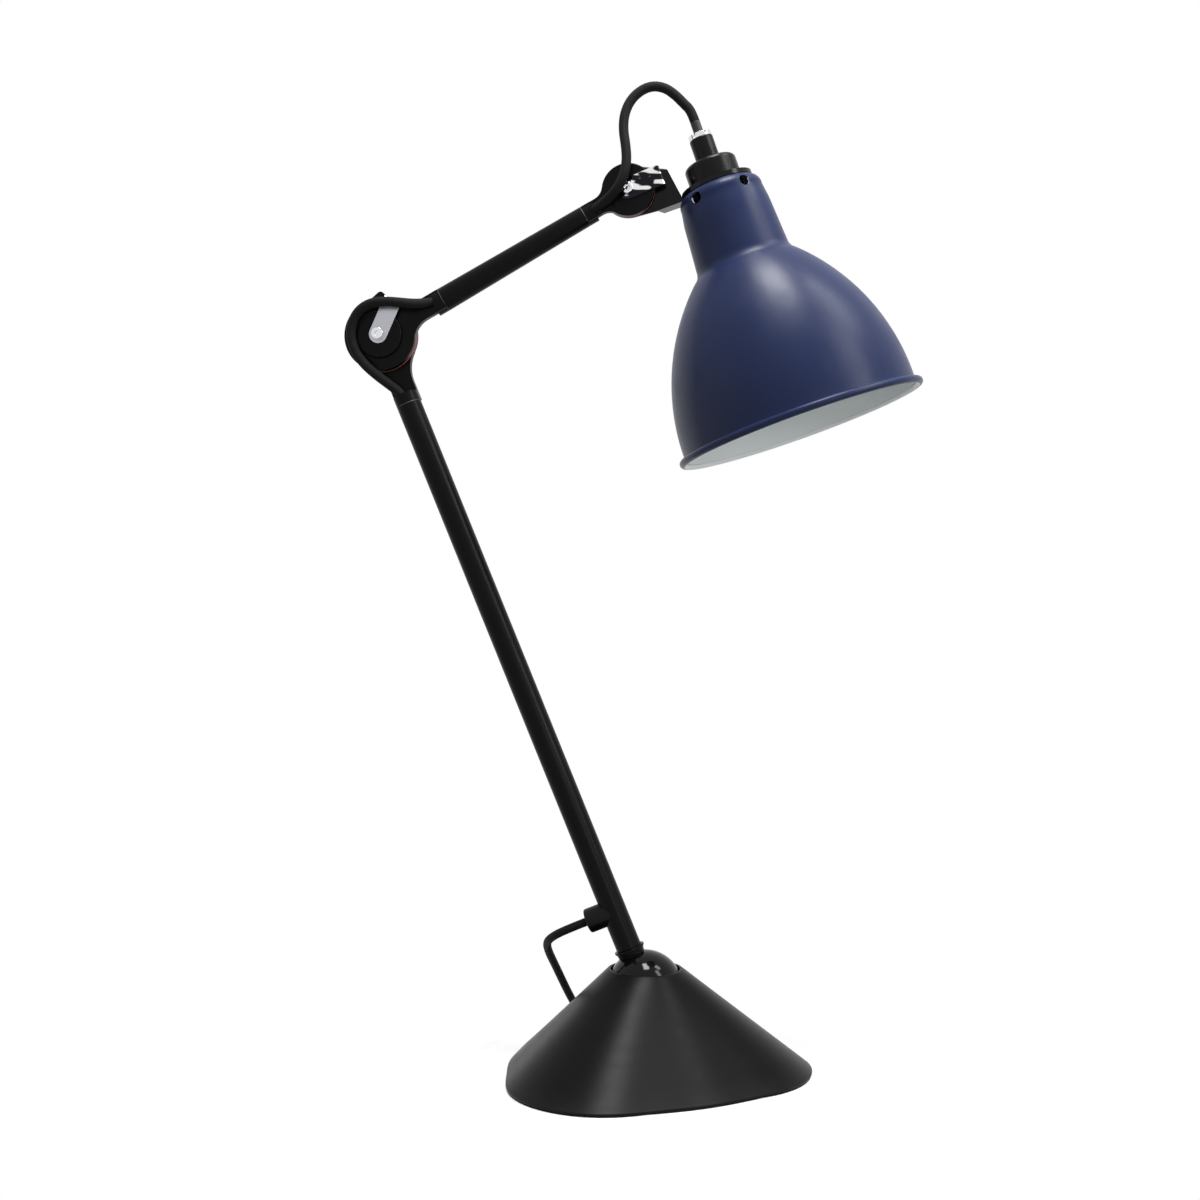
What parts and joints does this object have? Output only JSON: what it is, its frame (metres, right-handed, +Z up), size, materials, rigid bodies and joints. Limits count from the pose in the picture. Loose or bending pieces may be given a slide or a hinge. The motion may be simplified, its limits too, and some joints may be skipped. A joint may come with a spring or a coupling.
{
  "type": "desk lamp",
  "caption": "Jointed desk lamp: cone base with a ball joint, long lower arm, short upper arm with elbow and wrist discs, tilting bell shade, braided cord with coil and plug.",
  "frame": {"origin": "middle of the base's underside, on the surface it stands on, straight below the centre of the ball joint", "axes": "+Z up; both arms lie in the XZ plane and reach toward +X, where the shade hangs"},
  "size_m": [0.3407, 0.2665, 0.5804],
  "materials": {
    "black_casting": "satin black lacquer on a cast surface",
    "satin_black": "satin black lacquer",
    "gloss_black": "gloss black lacquer",
    "navy_lacquer": "satin navy outside, cool white inside",
    "black_moulding": "moulded, satin",
    "grey_nylon": "machined nylon",
    "red_fibre": "pressed red fibre sheet",
    "pad_rubber": "matt rubber sheet",
    "bare_steel": "plain zinc-plated steel",
    "polished_steel": "polished steel",
    "chrome": "polished chrome",
    "brass": "turned brass",
    "nickel_pins": "nickel-plated brass",
    "black_braid": "fine braided textile sleeve",
    "bulb_glass": "opal glass"
  },
  "bodies": {
    "base": {"base_shell": "black_casting", "base_plate": "bare_steel", "base_screws": "bare_steel", "base_pad": "pad_rubber", "ball_plug": "bare_steel", "ball_springs": "bare_steel", "mains_drop_foot": "black_braid", "mains_lay": "black_braid", "mains_coil": "black_braid", "mains_tail": "black_braid", "plug_body": "black_moulding", "plug_pins": "nickel_pins"},
    "swivel_cup": {"friction_cup": "grey_nylon", "mains_drop_mid": "black_braid"},
    "ball": {"ball_stem": "gloss_black", "collar_nut": "satin_black", "stem_clip": "bare_steel"},
    "lower_arm": {"lower_tube": "satin_black", "stem_bush": "brass", "cord_outlet": "black_moulding", "lower_elbow_fitting": "satin_black", "elbow_friction_washer": "red_fibre", "lower_ferrule": "black_moulding", "mains_drop_top": "black_braid", "elbow_cord": "black_braid"},
    "upper_arm": {"upper_tube": "satin_black", "upper_elbow_fitting": "satin_black", "wrist_fitting": "satin_black", "elbow_screw": "chrome", "elbow_spring_washer": "bare_steel", "elbow_nut": "bare_steel", "elbow_tongue": "polished_steel", "upper_ferrule": "black_moulding", "wrist_ferrule": "black_moulding", "wrist_friction_washer": "red_fibre", "head_cord": "black_braid"},
    "head": {"head_bracket": "gloss_black", "wrist_screw": "chrome", "wrist_spring_washer": "bare_steel", "wrist_nut": "bare_steel", "wrist_tongue": "polished_steel", "shade": "navy_lacquer", "holder_skirt": "black_moulding", "holder_cap": "black_moulding", "crown_nut": "chrome", "cord_sleeve": "black_moulding", "shade_ring": "black_moulding", "socket_barrel": "black_moulding", "socket_insert": "black_moulding", "bulb_glass": "bulb_glass", "bulb_cap": "bare_steel"}
  },
  "joints": [
    {"name": "ball_swivel", "type": "hinge", "parent": "base", "child": "swivel_cup", "pos_m": [0, 0, 0.0476], "axis": [0, 0, 1], "range_deg": [-60, 60], "deforming": ["mains_drop_foot"]},
    {"name": "ball_tilt", "type": "hinge", "parent": "swivel_cup", "child": "ball", "pos_m": [0, 0, 0.0476], "axis": [0, 1, 0], "range_deg": [-11, 56], "deforming": ["mains_drop_mid"]},
    {"name": "arm_twist", "type": "hinge", "parent": "ball", "child": "lower_arm", "pos_m": [0, 0, 0.0476], "axis": [-0.3795, 0, 0.9252], "range_deg": [-90, 90], "deforming": ["mains_drop_top"]},
    {"name": "elbow", "type": "hinge", "parent": "lower_arm", "child": "upper_arm", "pos_m": [-0.1585, 0, 0.43406], "axis": [0, 1, 0], "range_deg": [-78, 20], "deforming": ["elbow_cord"]},
    {"name": "wrist", "type": "hinge", "parent": "upper_arm", "child": "head", "pos_m": [-0.00993, 0, 0.51709], "axis": [0, 1, 0], "range_deg": [-75, 30], "deforming": ["head_cord"]}
  ]
}
